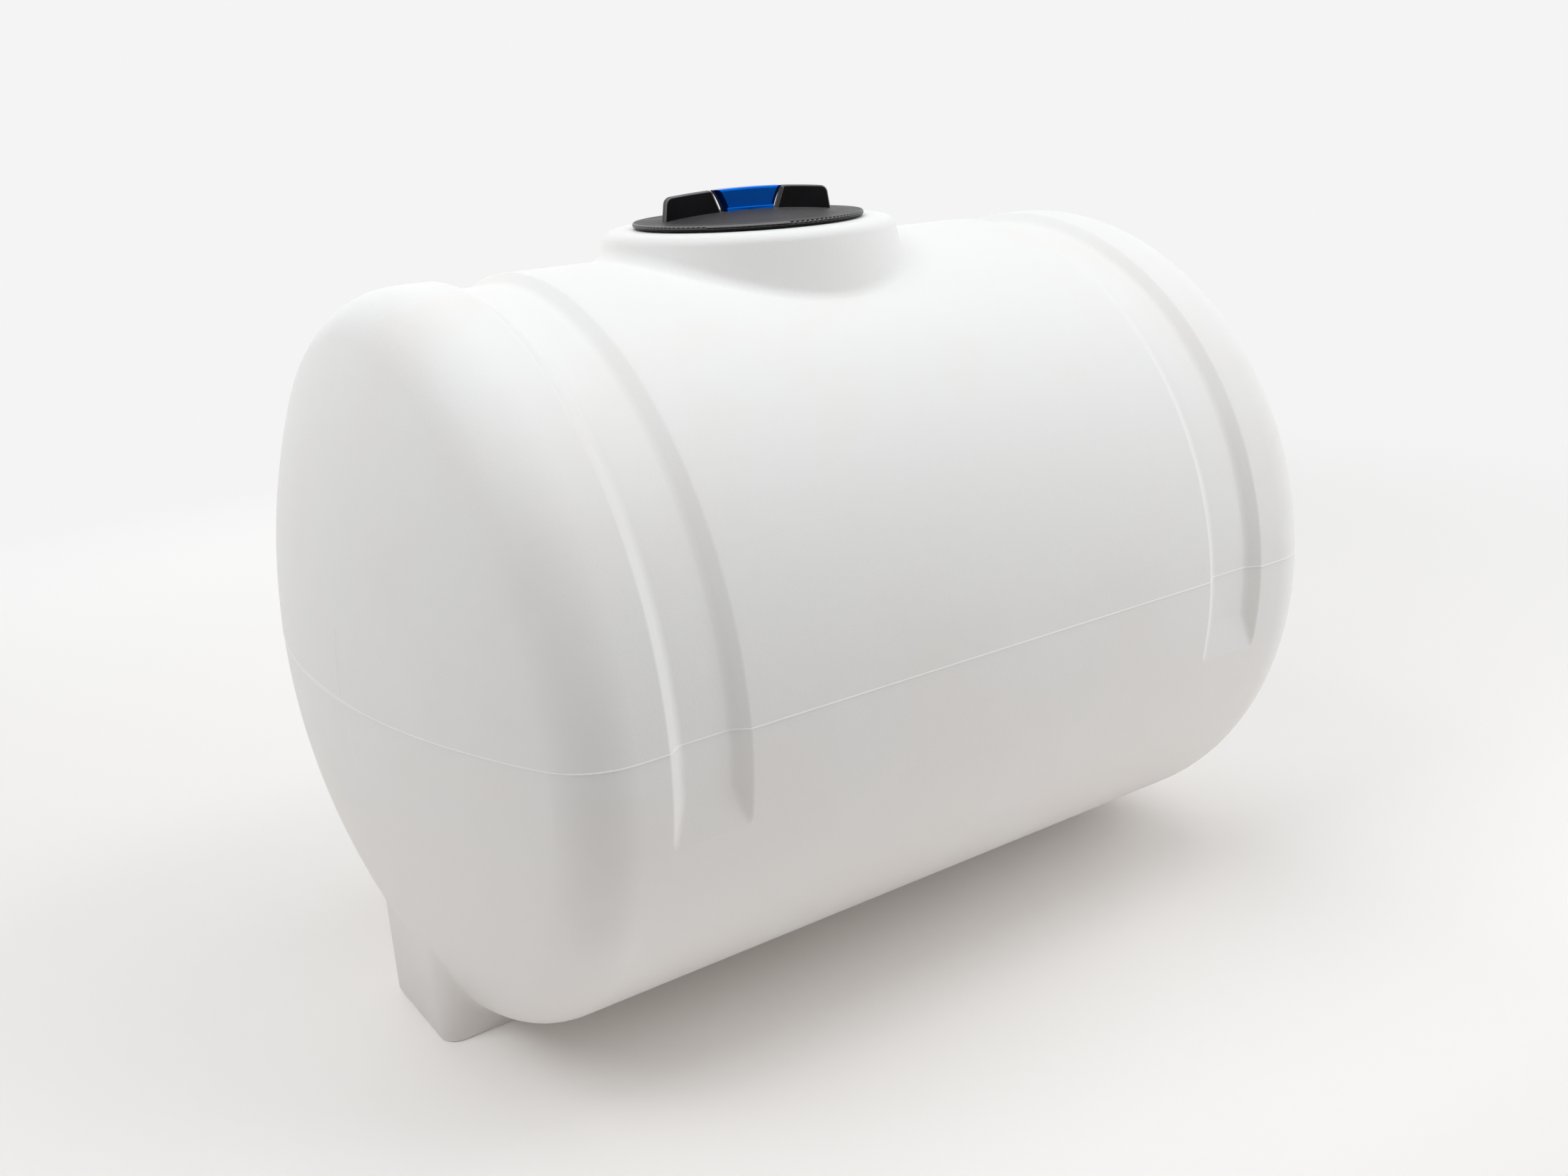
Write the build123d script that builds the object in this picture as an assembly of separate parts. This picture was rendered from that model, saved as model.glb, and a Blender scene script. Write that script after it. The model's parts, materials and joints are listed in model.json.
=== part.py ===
from build123d import *
import math
import os

# Horizontal moulded storage tank: a round barrel with dished ends, two strap grooves,
# a flat keel to stand on and a manway collar closed by a turn-and-lift lid.
# Lengths are millimetres and angles are degrees. The barrel lies along X and Z is up.
# The model is drawn about the barrel axis, then lifted so that the keel stands on Z zero.

# Barrel and dished ends
barrel_radius = 305.0
barrel_length = 651.0
crown_radius = 610.0
knuckle_radius = 61.0
wall = 6.0
parting_rise = 9.7

# Strap grooves, which run over the top and stop a little below the mould's parting plane
groove_offset = 268.0
groove_floor_width = 43.0
groove_ramp = 11.0
groove_end_ramp = 26.0
groove_depth = 8.5
groove_lip_radius = 4.0
groove_floor_radius = 12.0
groove_corner_radius = 10.0
groove_end_angle = 12.5

# Keel, whose two ends stand out below the dished ends as feet
keel_width = 124.0
keel_length = 804.0
keel_drop = 2.0
keel_corner_radius = 16.0
keel_edge_radius = 3.0
keel_valley_radius = 6.0
keel_root_share = 0.5
foot_patch_margin = 24.0
foot_patch_share = 0.62

# Manway collar, whose axis stands a little to the left of the middle
manway_offset = -16.0
collar_radius = 125.0
collar_height = 20.0
collar_draft = 15.0
collar_top_radius = 11.0
collar_root_radius = 14.0
collar_root_share = 0.6
collar_patch_margin = 14.0
mouth_radius = 84.0

# Lid
lid_radius = 100.0
lid_thickness = 4.0
lid_dome_reach = 80.0
lid_rise = 5.5
lid_edge_radius = 1.5
lid_angle = -12.8
gasket_thickness = 1.5
gasket_width = 9.0
gasket_margin = 2.0
plug_clearance = 3.0
plug_wall = 5.0
plug_depth = 28.0

# Grip bar of the lid: two wings under one arch, with an insert in the notch between them
grip_length = 154.0
grip_height = 18.6
grip_arch = 4.5
grip_thickness = 9.0
grip_end_lean = 4.0
grip_corner_radius = 7.0
grip_notch_radius = 2.5
grip_edge_radius = 1.2
notch_top_width = 66.0
notch_bottom_width = 52.0
insert_clearance = 1.2
insert_proud = 3.0
insert_waist = 2.0
insert_side_bevel = 4.0
insert_top_radius = 2.0
insert_lip_height = 2.5
insert_lip_proud = 1.5
insert_lip_radius = 0.8

cut_overrun = 20.0
fit_tolerance = 0.01

# Values worked out from the sizes above
barrel_half = barrel_length / 2
axis_height = barrel_radius + keel_drop
collar_top = barrel_radius + collar_height
lid_seat = collar_top + gasket_thickness
lid_rim_top = lid_seat + lid_thickness
lid_crown_top = lid_rim_top + lid_rise
lid_dome_radius = (lid_dome_reach**2 + lid_rise**2) / (2 * lid_rise)
grip_top = lid_crown_top + grip_height
grip_half = grip_length / 2
grip_arch_radius = (grip_half**2 + grip_arch**2) / (2 * grip_arch)
notch_lean = (notch_top_width - notch_bottom_width) / 2 / grip_height
plug_radius = mouth_radius - plug_clearance
plug_bore = plug_radius - plug_wall
groove_mouth_half = groove_floor_width / 2 + groove_ramp
ring_width = barrel_half - groove_offset - groove_mouth_half
end_cut = groove_offset + groove_mouth_half + ring_width / 2
band_cut = groove_offset - groove_mouth_half - ring_width / 2
crown_centre = barrel_half - math.sqrt(
    (crown_radius - knuckle_radius) ** 2 - (barrel_radius - knuckle_radius) ** 2
)
outside = crown_centre + crown_radius + barrel_radius
foot_patch_half = keel_width / 2 + foot_patch_margin
foot_patch_top = -barrel_radius * foot_patch_share
collar_flare = collar_height * math.tan(math.radians(collar_draft))
collar_patch_radius = collar_radius + collar_flare + collar_root_radius + collar_patch_margin
lip_reach = groove_mouth_half + ring_width / 2
raise_to_floor = Pos(0, 0, axis_height)
on_manway = Pos(manway_offset, 0, 0)


def blended(base, added, radius):
    """The two forms joined, with a hollow round along the seam where they meet."""
    joined = base + added
    seam = new_edges(base, added, combined=joined)
    return joined.fillet(radius, seam)


def dished_barrel(inset):
    """Barrel with torispherical ends, every face moved in by the inset."""
    radius = barrel_radius - inset
    crown = crown_radius - inset
    knuckle = knuckle_radius - inset
    rise = barrel_radius - knuckle_radius
    lean = math.degrees(math.atan2(rise, barrel_half - crown_centre))
    turn = 90 - lean
    right_crown = CenterArc((crown_centre, 0), crown, 0, lean)
    right_knuckle = CenterArc((barrel_half, rise), knuckle, lean, turn)
    top = Line((barrel_half, radius), (-barrel_half, radius))
    left_knuckle = CenterArc((-barrel_half, rise), knuckle, 90, turn)
    left_crown = CenterArc((-crown_centre, 0), crown, 180 - lean, lean)
    axis_line = Line((-crown_centre - crown, 0), (crown_centre + crown, 0))
    profile = make_face([right_crown, right_knuckle, top, left_knuckle, left_crown, axis_line])
    return revolve(Plane.XZ * profile, Axis.X)


def axis_distance(point):
    """Distance of a point from the barrel axis."""
    return math.hypot(point.Y, point.Z)


def lies_at(edge, radius):
    """True for an edge whose ends and middle lie at one distance from the barrel axis."""
    distances = [axis_distance(edge.position_at(share)) for share in (0, 0.5, 1)]
    return all(abs(distance - radius) < fit_tolerance for distance in distances)


def is_groove_corner(edge, floor_radius):
    """True for the short edges that climb from the floor of the band where a side meets an end."""
    start = axis_distance(edge.position_at(0))
    finish = axis_distance(edge.position_at(1))
    return min(start, finish) < floor_radius + fit_tolerance < max(start, finish)


def groove_cutter(centre, inset):
    """Band that cuts one strap groove, with ramped sides and ramped ends."""
    slope = groove_ramp / groove_depth
    spread = inset * math.tan(math.atan2(groove_depth, groove_ramp) / 2)
    surface = barrel_radius - inset
    floor_radius = surface - groove_depth
    floor_half = groove_floor_width / 2 + spread
    height = groove_depth + cut_overrun
    top_half = floor_half + height * slope
    profile = Polyline(
        (centre - floor_half, floor_radius),
        (centre + floor_half, floor_radius),
        (centre + top_half, floor_radius + height),
        (centre - top_half, floor_radius + height),
        close=True,
    )
    full_turn = revolve(Rot(180, 0, 0) * (Plane.XZ * make_face(profile)), Axis.X)
    end_spread = inset * math.tan(math.atan2(groove_depth, groove_end_ramp) / 2)
    end_angle = math.radians(groove_end_angle)
    outward = Vector(math.cos(end_angle), -math.sin(end_angle))
    upward = Vector(-outward.Y, outward.X)
    end_ramp = outward * groove_depth - upward * groove_end_ramp
    lip = outward * surface - upward * end_spread
    high = lip + end_ramp * (cut_overrun / groove_depth)
    low = lip - end_ramp * (cut_overrun / groove_depth)
    span = Polyline(
        (low.X, low.Y),
        (high.X, high.Y),
        (outside, high.Y),
        (outside, outside),
        (-outside, outside),
        (-outside, high.Y),
        (-high.X, high.Y),
        (-low.X, low.Y),
        close=True,
    )
    reach = top_half + cut_overrun
    keep = extrude(Plane.YZ.offset(centre - reach) * make_face(span), 2 * reach)
    band = full_turn & keep
    corners = band.edges().filter_by(lambda edge: is_groove_corner(edge, floor_radius))
    band = band.fillet(groove_corner_radius, corners)
    floor_edges = band.edges().filter_by(lambda edge: lies_at(edge, floor_radius))
    return band.fillet(groove_floor_radius, floor_edges)


def keel_form(inset):
    """Flat keel along the barrel, with rounded upright corners at its two feet."""
    plan = RectangleRounded(
        keel_length - 2 * inset, keel_width - 2 * inset, keel_corner_radius - inset
    )
    bottom = -barrel_radius - keel_drop + inset
    height = -barrel_radius * keel_root_share - bottom
    keel = extrude(Pos(0, 0, bottom) * plan, height)
    if inset < keel_edge_radius:
        keel = fillet(keel.faces().sort_by(Axis.Z)[0].edges(), keel_edge_radius - inset)
    return keel


def collar_form(inset):
    """Drafted collar that rises from the crown of the barrel."""
    top = collar_top - inset
    bottom = barrel_radius * collar_root_share
    radius = collar_radius - inset
    flare = (top - bottom) * math.tan(math.radians(collar_draft))
    profile = Polyline((0, bottom), (radius + flare, bottom), (radius, top), (0, top), close=True)
    collar = revolve(Plane.XZ * make_face(profile), Axis.Z)
    rim = collar.edges().filter_by(GeomType.CIRCLE).sort_by(Axis.Z)[-1]
    return on_manway * fillet(rim, collar_top_radius - inset)


def manway_core(radius):
    """Upright core on the manway axis, from the barrel axis to beyond the lid."""
    return on_manway * Cylinder(radius, outside, align=(Align.CENTER, Align.CENTER, Align.MIN))


def tank_form(inset):
    """Whole moulded form, every face moved in by the inset."""
    form = blended(dished_barrel(inset), keel_form(inset), keel_valley_radius)
    form = blended(form, collar_form(inset), collar_root_radius + inset)
    for centre in (-groove_offset, groove_offset):
        form = form - groove_cutter(centre, inset)
        lips = form.edges().filter_by(lambda edge: lies_at(edge, barrel_radius - inset))
        lips = lips.filter_by(lambda edge: abs(edge.position_at(0).X - centre) < lip_reach)
        if inset < groove_lip_radius:
            form = form.fillet(groove_lip_radius - inset, lips)
    return form


def block(x_low, x_high, y_low, y_high, z_low, z_high):
    """Plain block between two corners, used to part the moulding into its sections."""
    size = (x_high - x_low, y_high - y_low, z_high - z_low)
    return Pos(x_low, y_low, z_low) * Box(*size, align=(Align.MIN, Align.MIN, Align.MIN))


def tank_sections():
    """The hollow moulding, parted at its parting plane, its crown line and beside its grooves."""
    shell = tank_form(0) - tank_form(wall) - manway_core(mouth_radius)
    collar_patch = manway_core(collar_patch_radius)
    split = parting_rise
    sections = {"manway_collar": shell & collar_patch}
    for side, y_low, y_high in (("front", -outside, 0), ("back", 0, outside)):
        middle = block(-band_cut, band_cut, y_low, y_high, split, outside) - collar_patch
        left_band = block(-end_cut, -band_cut, y_low, y_high, split, outside)
        right_band = block(band_cut, end_cut, y_low, y_high, split, outside)
        lower = block(-end_cut, end_cut, y_low, y_high, -outside, split)
        sections[side + "_upper_barrel"] = shell & middle
        sections[side + "_left_strap_band"] = shell & left_band
        sections[side + "_right_strap_band"] = shell & right_band
        sections[side + "_lower_barrel"] = shell & lower
    for side, x_low, x_high in (("left", -outside, -end_cut), ("right", end_cut, outside)):
        foot = block(x_low, x_high, -foot_patch_half, foot_patch_half, -outside, foot_patch_top)
        upper = block(x_low, x_high, -outside, outside, split, outside)
        lower = block(x_low, x_high, -outside, outside, -outside, split) - foot
        sections[side + "_upper_end"] = shell & upper
        sections[side + "_lower_end"] = shell & lower
        sections[side + "_foot"] = shell & foot
    return sections


def ring(inner, outer, low, high):
    """Plain ring about the lid axis."""
    walls = Circle(outer)
    if inner > 0:
        walls = walls - Circle(inner)
    return extrude(Pos(0, 0, low) * walls, high - low)


def lid_dome(drop):
    """Ball whose top is the domed middle of the lid, lowered by the drop."""
    return Pos(0, 0, lid_crown_top - lid_dome_radius - drop) * Sphere(lid_dome_radius)


def lid_disc():
    """Disc with a flat rim and a domed middle that is hollow underneath."""
    rim = ring(0, lid_radius, lid_seat, lid_rim_top)
    rim = fillet(rim.edges().filter_by(GeomType.CIRCLE), lid_edge_radius)
    dome = ring(0, lid_radius - lid_thickness, lid_seat, lid_crown_top) & lid_dome(0)
    hollow = ring(0, plug_bore, lid_seat, lid_crown_top) & lid_dome(lid_thickness)
    return rim + dome - hollow


def under_arch(face):
    """The part of an upright outline that lies under the arch along the top of the grip bar."""
    return face & (Pos(0, grip_top - grip_arch_radius) * Circle(grip_arch_radius))


def standing(outline, thickness):
    """Plate with its outline upright along X and its thickness centred on the lid axis."""
    return extrude(Plane.XZ * outline, thickness / 2, both=True)


def grip_wing():
    """Right-hand wing of the grip bar, seated on the dome of the lid."""
    base_inner = notch_bottom_width / 2 - (lid_crown_top - lid_seat) * notch_lean
    outline = Polyline(
        (base_inner, lid_seat),
        (grip_half, lid_seat),
        (grip_half - grip_end_lean, grip_top),
        (notch_top_width / 2, grip_top),
        close=True,
    )
    face = under_arch(make_face(outline))
    outer_corner = face.vertices().sort_by(Axis.Y)[-2:].sort_by(Axis.X)[-1]
    face = fillet(outer_corner, grip_corner_radius)
    notch_corner = face.vertices().sort_by(Axis.Y)[-1]
    face = fillet(notch_corner, grip_notch_radius)
    wing = standing(face, grip_thickness)
    front, *_, back = wing.faces().sort_by(Axis.Y)
    wing = fillet(front.edges() + back.edges(), grip_edge_radius)
    return wing - lid_dome(0)


def grip_insert():
    """Coloured insert between the wings, waisted, with bevelled sides and a lip along its foot."""
    top_half = notch_top_width / 2 - insert_clearance
    base_half = top_half - (grip_top - lid_seat) * notch_lean
    sides = [
        SagittaArc((base_half, lid_seat), (top_half, grip_top), insert_waist),
        Line((top_half, grip_top), (-top_half, grip_top)),
        SagittaArc((-top_half, grip_top), (-base_half, lid_seat), insert_waist),
        Line((-base_half, lid_seat), (base_half, lid_seat)),
    ]
    depth = grip_thickness + 2 * insert_proud
    body = standing(under_arch(make_face(sides)), depth)
    front, *_, back = body.faces().sort_by(Axis.Y)
    side_edges = []
    for face in (front, back):
        left_to_right = face.edges().sort_by(Axis.X)
        side_edges += [left_to_right[0], left_to_right[-1]]
    body = chamfer(side_edges, insert_side_bevel)
    front, *_, back = body.faces().sort_by(Axis.Y)
    top_edges = [face.edges().sort_by(Axis.Z)[-1] for face in (front, back)]
    body = fillet(top_edges, insert_top_radius)
    lip_depth = depth + 2 * insert_lip_proud
    lip_height = lid_crown_top + insert_lip_height - lid_seat
    lip = Box(2 * base_half, lip_depth, lip_height, align=(Align.CENTER, Align.CENTER, Align.MIN))
    lip = fillet(lip.edges().filter_by(Axis.X).sort_by(Axis.Z)[-2:], insert_lip_radius)
    return body + Pos(0, 0, lid_seat) * lip - lid_dome(0)


def lid_pieces():
    """The lid, its sealing ring and its grip bar, turned as the lid is set down."""
    gasket_inner = mouth_radius + gasket_margin
    right_wing = grip_wing()
    pieces = {
        "lid_gasket": ring(gasket_inner, gasket_inner + gasket_width, collar_top, lid_seat),
        "lid_disc": lid_disc(),
        "lid_plug": ring(plug_bore, plug_radius, lid_seat - plug_depth, lid_seat),
        "left_grip": mirror(right_wing, about=Plane.YZ),
        "right_grip": right_wing,
        "grip_insert": grip_insert(),
    }
    set_down = on_manway * Rot(0, 0, lid_angle)
    return {name: set_down * piece for name, piece in pieces.items()}


os.makedirs("parts", exist_ok=True)
for name, piece in {**tank_sections(), **lid_pieces()}.items():
    export_step(raise_to_floor * piece, "parts/" + name + ".step")
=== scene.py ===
import json
import math

import bmesh
import bpy
from mathutils import Matrix, Vector
from mathutils.kdtree import KDTree


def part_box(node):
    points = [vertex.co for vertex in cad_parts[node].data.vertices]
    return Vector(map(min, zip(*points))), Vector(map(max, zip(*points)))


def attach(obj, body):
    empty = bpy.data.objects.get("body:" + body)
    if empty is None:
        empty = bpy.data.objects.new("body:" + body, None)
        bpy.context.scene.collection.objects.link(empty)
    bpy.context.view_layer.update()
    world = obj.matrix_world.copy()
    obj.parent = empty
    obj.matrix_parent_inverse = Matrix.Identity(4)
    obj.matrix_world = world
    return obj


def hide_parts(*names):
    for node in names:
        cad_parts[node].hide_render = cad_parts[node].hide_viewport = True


# White moulded storage tank on a pale studio floor. Lengths are metres, the barrel lies along X.

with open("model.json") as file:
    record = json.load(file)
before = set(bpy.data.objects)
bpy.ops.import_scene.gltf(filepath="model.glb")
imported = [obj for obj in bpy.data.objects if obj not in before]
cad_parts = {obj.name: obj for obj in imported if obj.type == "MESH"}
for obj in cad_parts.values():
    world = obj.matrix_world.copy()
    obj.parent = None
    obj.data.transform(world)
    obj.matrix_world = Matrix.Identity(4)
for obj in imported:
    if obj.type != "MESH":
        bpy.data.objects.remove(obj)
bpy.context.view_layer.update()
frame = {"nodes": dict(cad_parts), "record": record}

# Places read from the frame
barrel_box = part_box("front_lower_barrel")
end_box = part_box("left_upper_end")
middle_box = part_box("front_upper_barrel")
collar_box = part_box("manway_collar")
foot_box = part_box("left_foot")
barrel_radius = -barrel_box[0].y
axis_height = end_box[1].z - barrel_radius
parting_height = end_box[0].z
tank_half = -end_box[0].x
end_cut = -end_box[1].x
band_cut = middle_box[1].x
collar_centre = (collar_box[0] + collar_box[1]) / 2
collar_patch = collar_box[1].x - collar_centre.x
foot_patch_half = foot_box[1].y
foot_patch_top = foot_box[1].z
tank_centre = Vector((0, 0, axis_height))

# Dished ends of the standard form
crown_radius = 2 * barrel_radius
knuckle_radius = 0.2 * barrel_radius
crown_centre = tank_half - crown_radius
knuckle_ring = barrel_radius - knuckle_radius
barrel_half = crown_centre + math.sqrt((crown_radius - knuckle_radius) ** 2 - knuckle_ring**2)

# How near points have to be to be one point, to lie on one seam and to lie on a known surface
weld_distance = 1e-5
seam_gap = 3e-4
on_surface = 3e-5

# Edges that turn more than this stay sharp, on the tank and on the lid
sharp_edge = math.radians(35)
lid_sharp_edge = math.radians(6)

# Shares of a face's direction: along the exact direction of its surface, and up or down
same_side_share = 0.7
upright_share = 0.3

# Soft hollows and edges round the feet
foot_soft_reach = 0.009
foot_sample_step = 0.004

# Parting bead round the moulding
bead_rise = 0.0013
bead_drop = 0.0004
bead_proud = 0.0005
bead_sink = 0.0003
bead_end_rise = 0.003
bead_end_reach = 0.007

# Short witness line of the mould on the left end, in two lengths measured from the barrel's axis
upper_witness = dict(offset=-0.050, top=0.070, bottom=0.012, back_slope=0.004, front_slope=0.0008)
lower_witness = dict(offset=-0.057, top=0.004, bottom=-0.045, back_slope=0.0008, front_slope=0.002)
witness_proud = 0.0003
witness_steps = 16

# Painted highlight: outer roundings of the lid up to this radius, facing up or level, are painted
# lighter
highlight_edge_radius = 0.002
highlight_threshold = 0.3
lowest_highlight_slope = -0.1
# Painted shade: insert faces turned this far towards the grips are painted a deeper blue
side_share = 0.5

# Texture and finish of the plastics
grain_detail = 2
mottle_detail = 3
mottle_span = (0.35, 0.65)
gloss_spread_share = 0.1
# Painted warm shade: below these heights the white turns creamier
warm_shade_heights = (0.18, 0.38)
warm_shade_shift = (-0.14, 0.14)
white_finish = dict(roughness=0.45, grains=650, mottles=9, grain_depth=0.00012)
lid_reflection = 0.08
lid_sheen = 0.22
lid_sheen_roughness = 0.35
insert_reflection = 0.03


def joined_nodes(names):
    """Fresh mesh of CAD nodes, with their loose triangles joined."""
    bm = bmesh.new()
    for name in names:
        bm.from_mesh(frame["nodes"][name].data)
    bmesh.ops.remove_doubles(bm, verts=bm.verts, dist=weld_distance)
    return bm


def is_section_cut(face):
    """True for a face between two sections, which the one-piece moulding doesn't have."""
    corners = [vert.co for vert in face.verts]

    def level(read, *places):
        readings = [read(corner) for corner in corners]
        return any(
            all(abs(reading - place) < on_surface for reading in readings) for place in places
        )

    upright = abs(face.normal.z) < upright_share
    at_manway = upright and level(lambda p: math.hypot(p.x - collar_centre.x, p.y), collar_patch)
    at_band = level(lambda p: p.x, -end_cut, -band_cut, band_cut, end_cut)
    at_parting = level(lambda p: p.z, parting_height)
    at_crown_line = level(lambda p: p.y, 0)
    past_band = all(abs(corner.x) > end_cut - on_surface for corner in corners)
    at_foot_side = level(lambda p: p.y, -foot_patch_half, foot_patch_half)
    at_foot_top = level(lambda p: p.z, foot_patch_top)
    at_foot = past_band and (at_foot_side or at_foot_top)
    return at_manway or at_band or at_parting or at_crown_line or at_foot


def joined_sections(names):
    """Sections of the moulding in one mesh, without the faces between them."""
    bm = joined_nodes(names)
    cut_faces = [face for face in bm.faces if is_section_cut(face)]
    bmesh.ops.delete(bm, geom=cut_faces, context="FACES")
    return bm


def point_tree(points):
    """Search tree of points, each known by its place in the list."""
    tree = KDTree(len(points))
    for index, point in enumerate(points):
        tree.insert(point, index)
    tree.balance()
    return tree


def points_along(edge, tree):
    """Places of border points that lie along an edge, in order from its first vertex."""
    start = edge.verts[0].co.copy()
    along = edge.verts[1].co - start
    length = along.length
    found = []
    for place, _, _ in tree.find_range(start + along / 2, length / 2 + seam_gap):
        share = (place - start).dot(along) / length**2
        beside = (place - start - along * share).length
        inside_ends = weld_distance < share * length < length - weld_distance
        if inside_ends and beside < seam_gap:
            found.append((share, place))
    return sorted(found, key=lambda item: item[0])


def close_seams(bm):
    """Joins the borders of the sections, which are divided differently, at each other's points."""
    border = [edge for edge in bm.edges if edge.is_boundary]
    ends = list(dict.fromkeys(vert for edge in border for vert in edge.verts))
    tree = point_tree([vert.co for vert in ends])
    splits = [(edge, points_along(edge, tree)) for edge in border]
    for edge, found in splits:
        first = edge.verts[0]
        done = 0
        for share, place in found:
            rest, joint = bmesh.utils.edge_split(edge, first, (share - done) / (1 - done))
            joint.co = place
            ends.append(joint)
            edge = rest if first not in rest.verts else edge
            first, done = joint, share
    bmesh.ops.remove_doubles(bm, verts=ends, dist=weld_distance)
    many_sided = [face for face in bm.faces if len(face.verts) > 3]
    bmesh.ops.triangulate(bm, faces=many_sided)


def dished_normal(point):
    """Exact outward direction of a point on the plain barrel or a dished end, or None elsewhere."""
    side = math.copysign(1, point.x)
    outward = Vector((0, point.y, point.z - axis_height))
    if abs(point.x) <= barrel_half:
        centres = [(Vector((point.x, 0, axis_height)), barrel_radius)]
    else:
        ring_middle = Vector((side * barrel_half, 0, axis_height))
        knuckle = ring_middle + outward.normalized() * knuckle_ring
        crown = Vector((side * crown_centre, 0, axis_height))
        centres = [(knuckle, knuckle_radius), (crown, crown_radius)]
    for centre, reach in centres:
        arm = point - centre
        if abs(arm.length - reach) < on_surface:
            return arm.normalized()
    return None


def corner_normals(bm, sharp, exact_normal):
    """Directions for soft shading at all faces' corners: large faces lead, sharp edges stay."""
    alike = math.cos(sharp)
    weighted = {face: face.normal * face.calc_area() for face in bm.faces}
    normals = []
    for face in bm.faces:
        for vert in face.verts:
            exact = exact_normal(vert) if exact_normal else None
            if exact and exact.dot(face.normal) > same_side_share:
                normals.append(exact)
                continue
            around = [other for other in vert.link_faces if other.normal.dot(face.normal) > alike]
            normals.append(sum((weighted[other] for other in around), Vector()).normalized())
    return normals


def mark_painted_edge_light(bm):
    """Face values of painted highlight, from 0 on flats to 1 on tight outer roundings facing up or
    level, kept with the mesh as a layer of painted light.
    """
    painted_light = bm.faces.layers.float.new("painted_highlight_and_shade")
    for face in bm.faces:
        bend = sum(edge.calc_face_angle_signed(0) * edge.calc_length() / 2 for edge in face.edges)
        tightness = bend * highlight_edge_radius / face.calc_area()
        if face.normal.z > lowest_highlight_slope:
            face[painted_light] = min(max((tightness - highlight_threshold) / (1 - highlight_threshold), 0), 1)
    return painted_light


def new_piece(name, bm, material, body, sharp=sharp_edge, exact_normal=None):
    """Object from a mesh, softly shaded, riding on its body with its finish."""
    for face in bm.faces:
        face.smooth = True
    normals = corner_normals(bm, sharp, exact_normal)
    mesh = bpy.data.meshes.new(name)
    bm.to_mesh(mesh)
    bm.free()
    mesh.materials.append(material)
    mesh.normals_split_custom_set(normals)
    piece = bpy.data.objects.new(name, mesh)
    bpy.context.scene.collection.objects.link(piece)
    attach(piece, body)
    return piece


def faces_out(face):
    """True for a face on the outside of the moulding."""
    return face.normal.dot(face.calc_center_median() - tank_centre) > 0


def near_foot(point, margin):
    """True for a point on or round one of the two feet, within the margin of their patch."""
    beyond_band = abs(point.x) > end_cut + foot_soft_reach - margin
    beside_keel = abs(point.y) < foot_patch_half + margin
    return beyond_band and beside_keel and point.z < foot_patch_top + margin


def spread_points(face):
    """Points spread evenly over a triangle, a small step apart."""
    a, b, c = [vert.co for vert in face.verts]
    steps = math.ceil(max(edge.calc_length() for edge in face.edges) / foot_sample_step)
    for i in range(steps):
        for j in range(steps - i):
            yield a + (b - a) * ((i + 1 / 3) / steps) + (c - a) * ((j + 1 / 3) / steps)


def soft_foot_normals(bm):
    """Directions at the feet averaged over a short reach of skin, as soft as moulded hollows."""
    margin = 2 * foot_soft_reach
    around = [face for face in bm.faces if near_foot(face.calc_center_median(), margin)]
    outer = [face for face in around if faces_out(face)]
    samples = []
    for face in outer:
        points = list(spread_points(face))
        samples += [(point, face.normal * (face.calc_area() / len(points))) for point in points]
    tree = point_tree([point for point, _ in samples])
    normals = {}
    for vert in {vert for face in outer for vert in face.verts if near_foot(vert.co, 0)}:
        total = Vector()
        for _, index, distance in tree.find_range(vert.co, foot_soft_reach):
            total += samples[index][1] * (1 - (distance / foot_soft_reach) ** 2)
        normals[vert] = total.normalized()
    return normals


def moulded_skin(material):
    """The tank as one moulding: all its sections in one closed skin."""
    sections = list(frame["record"]["behaviour"]["bodies"]["tank"])
    bm = joined_sections(sections)
    close_seams(bm)
    soft = soft_foot_normals(bm)

    def skin_normal(vert):
        return soft.get(vert) or dished_normal(vert.co)

    skin = new_piece("tank_moulding", bm, material, "tank", exact_normal=skin_normal)
    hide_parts(*sections)


def parting_outline():
    """Closed outline of the moulding in its parting plane, as loose edges."""
    names = ["left_upper_end", "right_upper_end"]
    for side in ("front", "back"):
        names += [side + "_left_strap_band", side + "_upper_barrel", side + "_right_strap_band"]
    bm = joined_sections(names)
    inside = [face for face in bm.faces if not faces_out(face)]
    bmesh.ops.delete(bm, geom=inside, context="FACES")
    above = [vert for vert in bm.verts if vert.co.z > parting_height + on_surface]
    bmesh.ops.delete(bm, geom=above, context="VERTS")
    return bm


def outline_directions(bm):
    """Level outward direction at each vertex of a closed outline."""
    directions = {}
    for vert in bm.verts:
        before, after = [edge.other_vert(vert).co for edge in vert.link_edges]
        along = after - before
        across = Vector((along.y, -along.x, 0)).normalized()
        directions[vert] = across if across.dot(vert.co - tank_centre) > 0 else -across
    return directions


def next_row(bm, row, push, drop):
    """Next row of the bead: the last row's edges drawn down by the drop and pushed out or in."""
    edges = [edge for edge in bm.edges if all(vert in row for vert in edge.verts)]
    made = bmesh.ops.extrude_edge_only(bm, edges=edges)["geom"]
    drawn = [part for part in made if isinstance(part, bmesh.types.BMVert)]
    directions = {}
    for vert in drawn:
        neighbours = [edge.other_vert(vert) for edge in vert.link_edges]
        source = next(other for other in neighbours if other in row)
        directions[vert] = row[source]
        vert.co += row[source] * push - Vector((0, 0, drop))
    return directions


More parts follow.
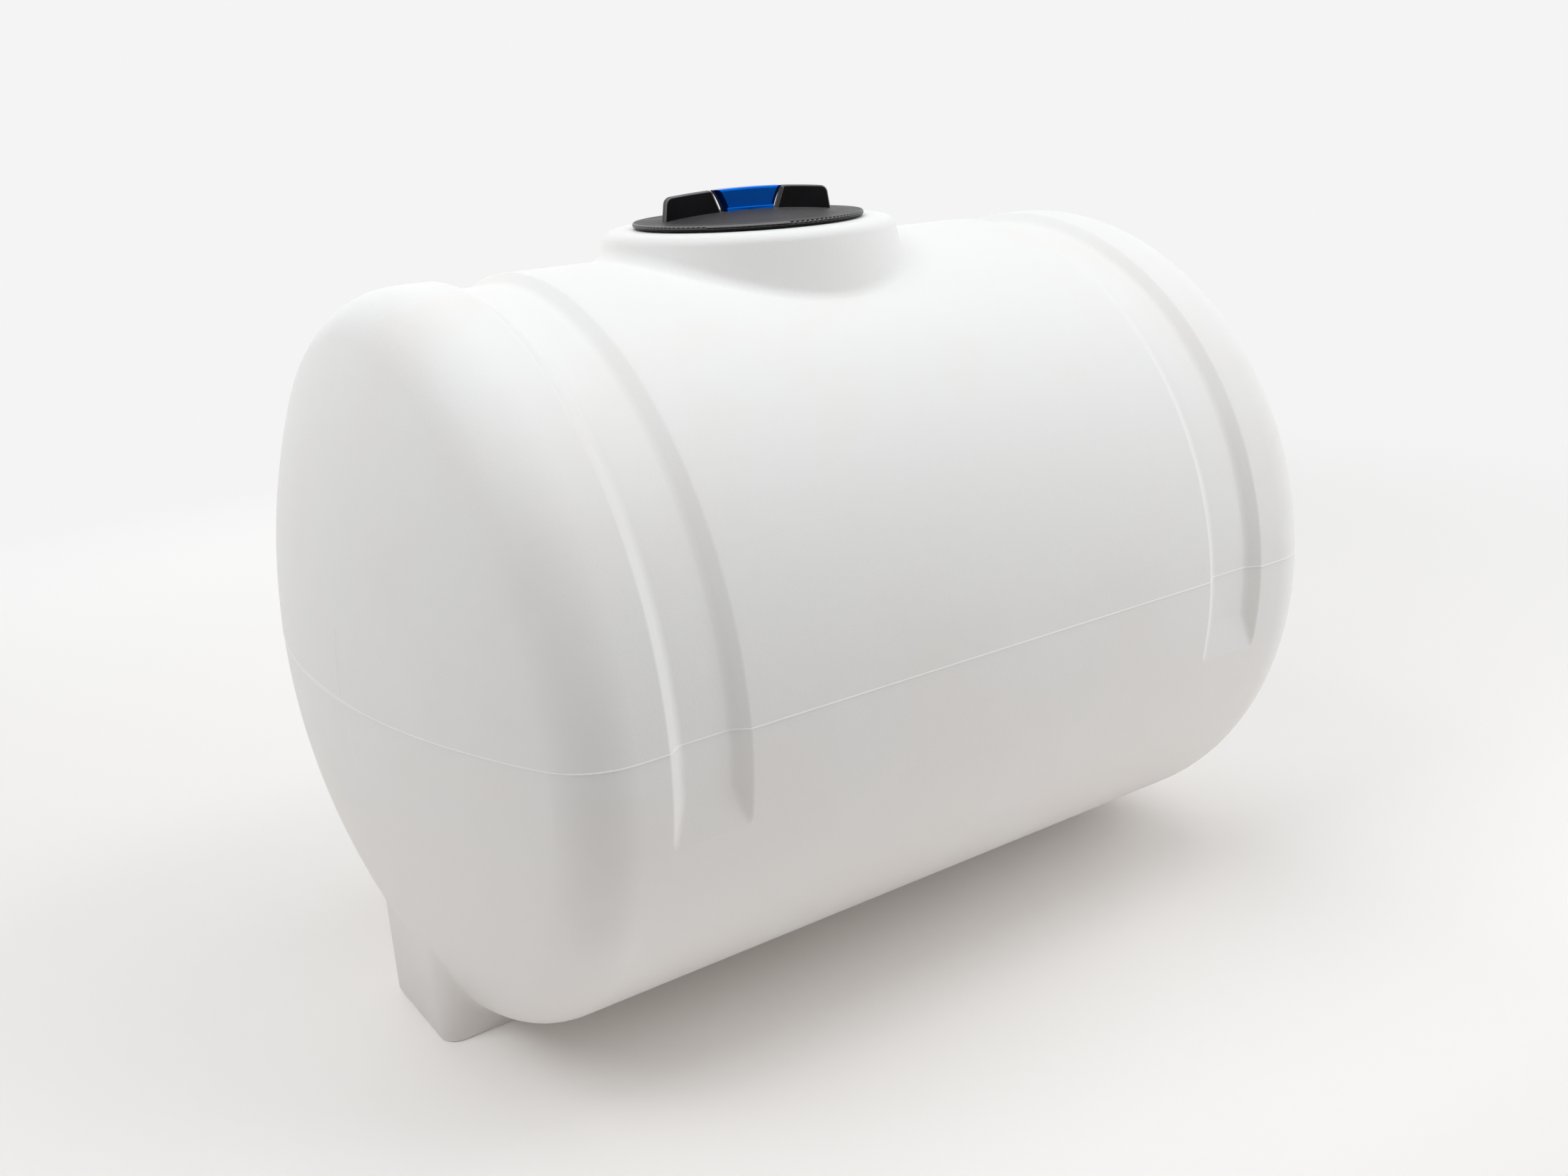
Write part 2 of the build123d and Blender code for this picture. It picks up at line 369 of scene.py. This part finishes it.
def parting_bead(material):
    """Thin bead of plastic left round the moulding where the two mould halves met."""
    bm = parting_outline()
    row = outline_directions(bm)
    for vert, across in row.items():
        vert.co -= across * bead_sink
    crest = next_row(bm, row, bead_proud + bead_sink, 0)
    for vert in row:
        at_end = max(0, 1 - (tank_half - abs(vert.co.x)) / bead_end_reach)
        vert.co.z += bead_rise + bead_end_rise * at_end
    next_row(bm, crest, -bead_proud - bead_sink, bead_drop)
    bmesh.ops.bridge_loops(bm, edges=[edge for edge in bm.edges if edge.is_boundary])
    bmesh.ops.recalc_face_normals(bm, faces=bm.faces)
    new_piece("parting_bead", bm, material, "tank")


def witness_line(name, material, offset, top, bottom, back_slope, front_slope):
    """Faint upright ridge on the left end, where a part of the mould met its neighbour."""
    bm = bmesh.new()
    ring_centre = Vector((-crown_centre, offset, axis_height))
    ring_radius = math.sqrt(crown_radius**2 - offset**2)
    start, finish = (math.asin(rise / ring_radius) for rise in (top, bottom))
    outward = Vector((-math.cos(start), 0, math.sin(start)))
    profile = []
    for across, lift in ((back_slope, -bead_sink), (0, witness_proud), (-front_slope, -bead_sink)):
        place = ring_centre + Vector((0, across, 0)) + outward * (ring_radius + lift)
        profile.append(bm.verts.new(place))
    edges = [bm.edges.new(pair) for pair in zip(profile, profile[1:] + profile[:1])]
    bmesh.ops.spin(
        bm,
        geom=profile + edges,
        cent=ring_centre,
        axis=(0, 1, 0),
        angle=finish - start,
        steps=witness_steps,
    )
    bmesh.ops.holes_fill(bm, edges=bm.edges, sides=len(profile))
    bmesh.ops.recalc_face_normals(bm, faces=bm.faces)
    new_piece(name, bm, material, "tank")


def lid_piece(node, material, body, painted_dark_sides=None):
    """One piece of the lid with soft shading and painted highlights on its upper outer roundings,
    in place of its CAD node.

    Faces turned towards the neighbours along the given direction of the dark sides are marked -1,
    for
    painted shade: a deeper colour that stands for the dark reflection of the black grips.
    """
    bm = joined_nodes([node])
    painted_light = mark_painted_edge_light(bm)
    if painted_dark_sides:
        for face in bm.faces:
            if abs(face.normal.dot(painted_dark_sides)) > side_share:
                face[painted_light] = -1
    piece = new_piece(node + "_finished", bm, material, body, lid_sharp_edge)
    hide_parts(node)


def moulded_grain():
    """Shared moulding texture: a fine grain for the bump, a slow mottle for colour and gloss."""
    group = bpy.data.node_groups.new("moulded_grain", "ShaderNodeTree")
    group.interface.new_socket("Grains Per Metre", in_out="INPUT", socket_type="NodeSocketFloat")
    group.interface.new_socket("Mottles Per Metre", in_out="INPUT", socket_type="NodeSocketFloat")
    group.interface.new_socket("Grain", in_out="OUTPUT", socket_type="NodeSocketFloat")
    group.interface.new_socket("Mottle", in_out="OUTPUT", socket_type="NodeSocketFloat")
    nodes, links = group.nodes, group.links
    entry = nodes.new("NodeGroupInput")
    result = nodes.new("NodeGroupOutput")
    place = nodes.new("ShaderNodeTexCoord")
    patterns = (
        ("Grains Per Metre", "Grain", grain_detail),
        ("Mottles Per Metre", "Mottle", mottle_detail),
    )
    for size, output, detail in patterns:
        noise = nodes.new("ShaderNodeTexNoise")
        noise.inputs["Detail"].default_value = detail
        links.new(place.outputs["Object"], noise.inputs["Vector"])
        links.new(entry.outputs[size], noise.inputs["Scale"])
        links.new(noise.outputs["Fac"], result.inputs[output])
    return group


grain_group = moulded_grain()


def moulded_plastic(name, dark, light, roughness, grains, mottles, grain_depth, painted_light=None):
    """Plastic whose colour moves between two tones, with the shared grain as bump.

    Gives the material and its shader. A colour of painted light is added where the mesh marks
    painted highlights on its edges, and taken off where it marks sides with painted shade.
    """
    material = bpy.data.materials.new(name)
    material.use_nodes = True
    nodes, links = material.node_tree.nodes, material.node_tree.links
    shader = nodes["Principled BSDF"]
    texture = nodes.new("ShaderNodeGroup")
    texture.node_tree = grain_group
    texture.inputs["Grains Per Metre"].default_value = grains
    texture.inputs["Mottles Per Metre"].default_value = mottles
    tone = nodes.new("ShaderNodeValToRGB")
    for element, place, colour in zip(tone.color_ramp.elements, mottle_span, (dark, light)):
        element.position = place
        element.color = (*colour, 1)
    links.new(texture.outputs["Mottle"], tone.inputs["Fac"])
    links.new(tone.outputs["Color"], shader.inputs["Base Color"])
    # Painted light: the mesh's marks add a painted highlight on edges and take colour off as
    # painted shade on sides
    if painted_light:
        edges = nodes.new("ShaderNodeAttribute")
        edges.attribute_name = "painted_highlight_and_shade"
        with_painted_light = nodes.new("ShaderNodeVectorMath")
        with_painted_light.operation = "MULTIPLY_ADD"
        with_painted_light.inputs[0].default_value = painted_light
        links.new(edges.outputs["Fac"], with_painted_light.inputs[1])
        links.new(tone.outputs["Color"], with_painted_light.inputs[2])
        links.new(with_painted_light.outputs["Vector"], shader.inputs["Base Color"])
    gloss = nodes.new("ShaderNodeMapRange")
    gloss.inputs["From Min"].default_value, gloss.inputs["From Max"].default_value = mottle_span
    gloss.inputs["To Min"].default_value = roughness * (1 - gloss_spread_share)
    gloss.inputs["To Max"].default_value = roughness * (1 + gloss_spread_share)
    links.new(texture.outputs["Mottle"], gloss.inputs["Value"])
    links.new(gloss.outputs["Result"], shader.inputs["Roughness"])
    bump = nodes.new("ShaderNodeBump")
    bump.inputs["Distance"].default_value = grain_depth
    links.new(texture.outputs["Grain"], bump.inputs["Height"])
    links.new(bump.outputs["Normal"], shader.inputs["Normal"])
    return material, shader


def tank_plastic():
    """Natural white polyethylene: satin and finely grained, with painted warm shade that makes it a
    little creamier low down.
    """
    material, shader = moulded_plastic(
        "tank_white_plastic", dark=(0.88, 0.85, 0.828), light=(0.885, 0.876, 0.862), **white_finish
    )
    nodes, links = material.node_tree.nodes, material.node_tree.links
    tone = shader.inputs["Base Color"].links[0].from_node
    mottle = tone.inputs["Fac"].links[0].from_socket
    place = nodes.new("ShaderNodeTexCoord")
    split = nodes.new("ShaderNodeSeparateXYZ")
    links.new(place.outputs["Object"], split.inputs["Vector"])
    height = nodes.new("ShaderNodeMapRange")
    height.interpolation_type = "SMOOTHSTEP"
    lower, upper = warm_shade_heights
    height.inputs["From Min"].default_value, height.inputs["From Max"].default_value = lower, upper
    height.inputs["To Min"].default_value, height.inputs["To Max"].default_value = warm_shade_shift
    links.new(split.outputs["Z"], height.inputs["Value"])
    shifted = nodes.new("ShaderNodeMath")
    shifted.operation = "ADD"
    links.new(mottle, shifted.inputs[0])
    links.new(height.outputs["Result"], shifted.inputs[1])
    links.new(shifted.outputs["Value"], tone.inputs["Fac"])
    return material


def bead_plastic():
    """The same polyethylene, whiter where the mould's seams were trimmed, and lighter still as a
    painted highlight.
    """
    material, _ = moulded_plastic(
        "seam_white_plastic", dark=(0.91, 0.9, 0.885), light=(0.93, 0.92, 0.91), **white_finish
    )
    return material


def lid_plastic():
    """Black plastic with the fine pebbled texture of the mould."""
    material, shader = moulded_plastic(
        "lid_black_plastic",
        dark=(0.006, 0.005, 0.006),
        light=(0.01, 0.0085, 0.01),
        roughness=0.4,
        grains=1100,
        mottles=40,
        grain_depth=0.00025,
        # Painted highlight colour for the lid's upper outer roundings
        painted_light=(0.2, 0.195, 0.197),
    )
    shader.inputs["Specular IOR Level"].default_value = lid_reflection
    shader.inputs["Sheen Weight"].default_value = lid_sheen
    shader.inputs["Sheen Roughness"].default_value = lid_sheen_roughness
    return material


def insert_plastic():
    """Deep blue plastic with a wet gloss."""
    material, shader = moulded_plastic(
        "insert_blue_plastic",
        dark=(0.001, 0.09, 0.46),
        light=(0.002, 0.105, 0.5),
        roughness=0.12,
        grains=90,
        mottles=30,
        grain_depth=0.00002,
        # Painted light: added as a highlight on the insert's edges, taken off its sides towards the
        # grips as painted shade
        painted_light=(0.0, 0.08, 0.38),
    )
    shader.inputs["Specular IOR Level"].default_value = insert_reflection
    return material


def seal_rubber():
    """Matt black rubber of the sealing ring."""
    material, _ = moulded_plastic(
        "seal_black_rubber",
        dark=(0.014, 0.014, 0.014),
        light=(0.02, 0.02, 0.02),
        roughness=0.75,
        grains=900,
        mottles=40,
        grain_depth=0.0001,
    )
    return material


tank_white = tank_plastic()
seam_white_and_highlight = bead_plastic()
lid_black = lid_plastic()
insert_blue = insert_plastic()
gasket_rubber = seal_rubber()

moulded_skin(tank_white)
# The bead and the lower witness line take the lighter seam plastic: partly the whiter trimmed seam,
# partly a painted highlight
parting_bead(seam_white_and_highlight)
witness_line("upper_witness_line", tank_white, **upper_witness)
witness_line("lower_witness_line", seam_white_and_highlight, **lower_witness)
lid_piece("lid_gasket", gasket_rubber, "lid_seal")
for node in ("lid_disc", "lid_plug", "left_grip", "right_grip"):
    lid_piece(node, lid_black, "lid")
left_grip_box, right_grip_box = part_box("left_grip"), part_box("right_grip")
left_grip_middle = (left_grip_box[0] + left_grip_box[1]) / 2
right_grip_middle = (right_grip_box[0] + right_grip_box[1]) / 2
along_grip = (right_grip_middle - left_grip_middle).normalized()
# The insert's sides towards the grips are painted deeper blue as painted shade, for the grips' dark
# reflection
lid_piece("grip_insert", insert_blue, "lid", along_grip)

# Floor of pale paper, which fades to the plain backdrop further off
floor_reach = 30.0
floor_sides = 96
paper_near = 0.6
paper_far = 2.2
# Painted light by the tank: this share of the plain backdrop and the faint warm glow below lift the
# floor's shadow, and the glow also lights the tank from below
paper_plain_share = 0.02
paper_colour = (0.94, 0.917, 0.895)
paper_roughness = 0.9
paper_glow_colour = (1.0, 0.9, 0.82)
paper_glow = 0.04
backdrop_colour = (0.905, 0.905, 0.905)

# Faint warm light from all round
fill_colour = (1.0, 0.84, 0.75)
fill_strength = 0.05

# Soft lamps round the tank: turn from the front towards the right, height angle, power
softboxes = {
    "left_high_softbox": (270, 50, 25),
    "left_low_softbox": (270, 12, 4),
    "right_front_high_softbox": (48, 50, 21),
    "right_front_low_softbox": (48, 12, 14),
    "right_low_softbox": (90, 12, 8),
    "back_low_softbox": (180, 12, 27),
}
lamp_colour = (0.95, 0.98, 1.0)
lamp_target = Vector((0, 0, 0.3))
lamp_distance = 2.6
lamp_size = 1.6
lowest_lamp = 0.85
top_size = 2.4
top_distance = 2.2
top_power = 25


def softbox(name, turn, height, distance, size, power):
    """Square lamp aimed at the tank, unseen itself and in gloss, where the pale backdrop shows."""
    turn, height = math.radians(turn), math.radians(height)
    level = math.cos(height)
    direction = Vector((math.sin(turn) * level, -math.cos(turn) * level, math.sin(height)))
    light = bpy.data.lights.new(name, "AREA")
    light.size = size
    light.energy = power
    light.color = lamp_colour
    lamp = bpy.data.objects.new(name, light)
    lamp.location = lamp_target + direction * distance
    lamp.location.z = max(lamp.location.z, lowest_lamp)
    lamp.rotation_euler = (-direction).to_track_quat("-Z", "Y").to_euler()
    lamp.visible_camera = False
    lamp.visible_glossy = False
    bpy.context.scene.collection.objects.link(lamp)


softbox("top_softbox", turn=0, height=90, distance=top_distance, size=top_size, power=top_power)
for name, (turn, height, power) in softboxes.items():
    softbox(name, turn, height, lamp_distance, lamp_size, power)


def shows_backdrop(nodes, links):
    """1 for the rays that show the backdrop: to the camera, in gloss and through clear things."""
    rays = nodes.new("ShaderNodeLightPath")
    shown = rays.outputs["Is Camera Ray"]
    for kind in ("Is Glossy Ray", "Is Transmission Ray"):
        either = nodes.new("ShaderNodeMath")
        either.operation = "MAXIMUM"
        links.new(shown, either.inputs[0])
        links.new(rays.outputs[kind], either.inputs[1])
        shown = either.outputs["Value"]
    return shown


def backdrop_paper():
    """Pale paper that keeps the shadow by the tank, lifted a little by painted light, and fades to
    the plain backdrop further off.
    """
    material = bpy.data.materials.new("backdrop_paper")
    material.use_nodes = True
    nodes, links = material.node_tree.nodes, material.node_tree.links
    paper = nodes["Principled BSDF"]
    paper.inputs["Base Color"].default_value = (*paper_colour, 1)
    paper.inputs["Emission Color"].default_value = (*paper_glow_colour, 1)
    paper.inputs["Emission Strength"].default_value = paper_glow
    paper.inputs["Roughness"].default_value = paper_roughness
    place = nodes.new("ShaderNodeTexCoord")
    distance = nodes.new("ShaderNodeVectorMath")
    distance.operation = "LENGTH"
    links.new(place.outputs["Object"], distance.inputs[0])
    fade = nodes.new("ShaderNodeMapRange")
    fade.interpolation_type = "SMOOTHSTEP"
    fade.inputs["From Min"].default_value = paper_near
    fade.inputs["From Max"].default_value = paper_far
    fade.inputs["To Min"].default_value = paper_plain_share
    links.new(distance.outputs["Value"], fade.inputs["Value"])
    share = nodes.new("ShaderNodeMath")
    share.operation = "MULTIPLY"
    links.new(fade.outputs["Result"], share.inputs[0])
    links.new(shows_backdrop(nodes, links), share.inputs[1])
    plain = nodes.new("ShaderNodeEmission")
    plain.inputs["Color"].default_value = (*backdrop_colour, 1)
    mix = nodes.new("ShaderNodeMixShader")
    links.new(share.outputs["Value"], mix.inputs["Fac"])
    links.new(paper.outputs["BSDF"], mix.inputs[1])
    links.new(plain.outputs["Emission"], mix.inputs[2])
    links.new(mix.outputs["Shader"], nodes["Material Output"].inputs["Surface"])
    return material


def studio_floor():
    """Flat round floor of backdrop paper, wider than any view of the tank."""
    bm = bmesh.new()
    bmesh.ops.create_circle(bm, cap_ends=True, segments=floor_sides, radius=floor_reach)
    mesh = bpy.data.meshes.new("studio_floor")
    bm.to_mesh(mesh)
    bm.free()
    mesh.materials.append(backdrop_paper())
    round_floor = bpy.data.objects.new("studio_floor", mesh)
    bpy.context.scene.collection.objects.link(round_floor)
    return round_floor


floor = studio_floor()


def studio_surround():
    """World that shows the backdrop to the camera and in gloss, and fills the shade a little."""
    world = bpy.data.worlds.new("studio_surround")
    world.use_nodes = True
    nodes, links = world.node_tree.nodes, world.node_tree.links
    fill = nodes["Background"]
    fill.inputs["Color"].default_value = (*fill_colour, 1)
    fill.inputs["Strength"].default_value = fill_strength
    backdrop = nodes.new("ShaderNodeBackground")
    backdrop.inputs["Color"].default_value = (*backdrop_colour, 1)
    mix = nodes.new("ShaderNodeMixShader")
    links.new(shows_backdrop(nodes, links), mix.inputs["Fac"])
    links.new(fill.outputs["Background"], mix.inputs[1])
    links.new(backdrop.outputs["Background"], mix.inputs[2])
    links.new(mix.outputs["Shader"], nodes["World Output"].inputs["Surface"])
    return world


bpy.context.scene.world = studio_surround()

# Camera at the photograph's place
photo_width = 2212
focal_pixels = 2147
sensor_width = 36
camera_place = (-0.7473, -1.1383, 0.7334)
camera_yaw = 0.5799
camera_pitch = 0.3119
camera_roll = 0.06

camera_data = bpy.data.cameras.new("photo_camera")
camera_data.sensor_width = sensor_width
camera_data.lens = sensor_width * focal_pixels / photo_width
camera = bpy.data.objects.new("photo_camera", camera_data)
bpy.context.scene.collection.objects.link(camera)
turn = Matrix.Rotation(-camera_yaw, 4, "Z")
tilt = Matrix.Rotation(math.pi / 2 - camera_pitch, 4, "X")
roll = Matrix.Rotation(-camera_roll, 4, "Z")
camera.matrix_world = Matrix.Translation(camera_place) @ turn @ tilt @ roll
bpy.context.scene.camera = camera

bpy.context.scene.view_settings.view_transform = "Standard"
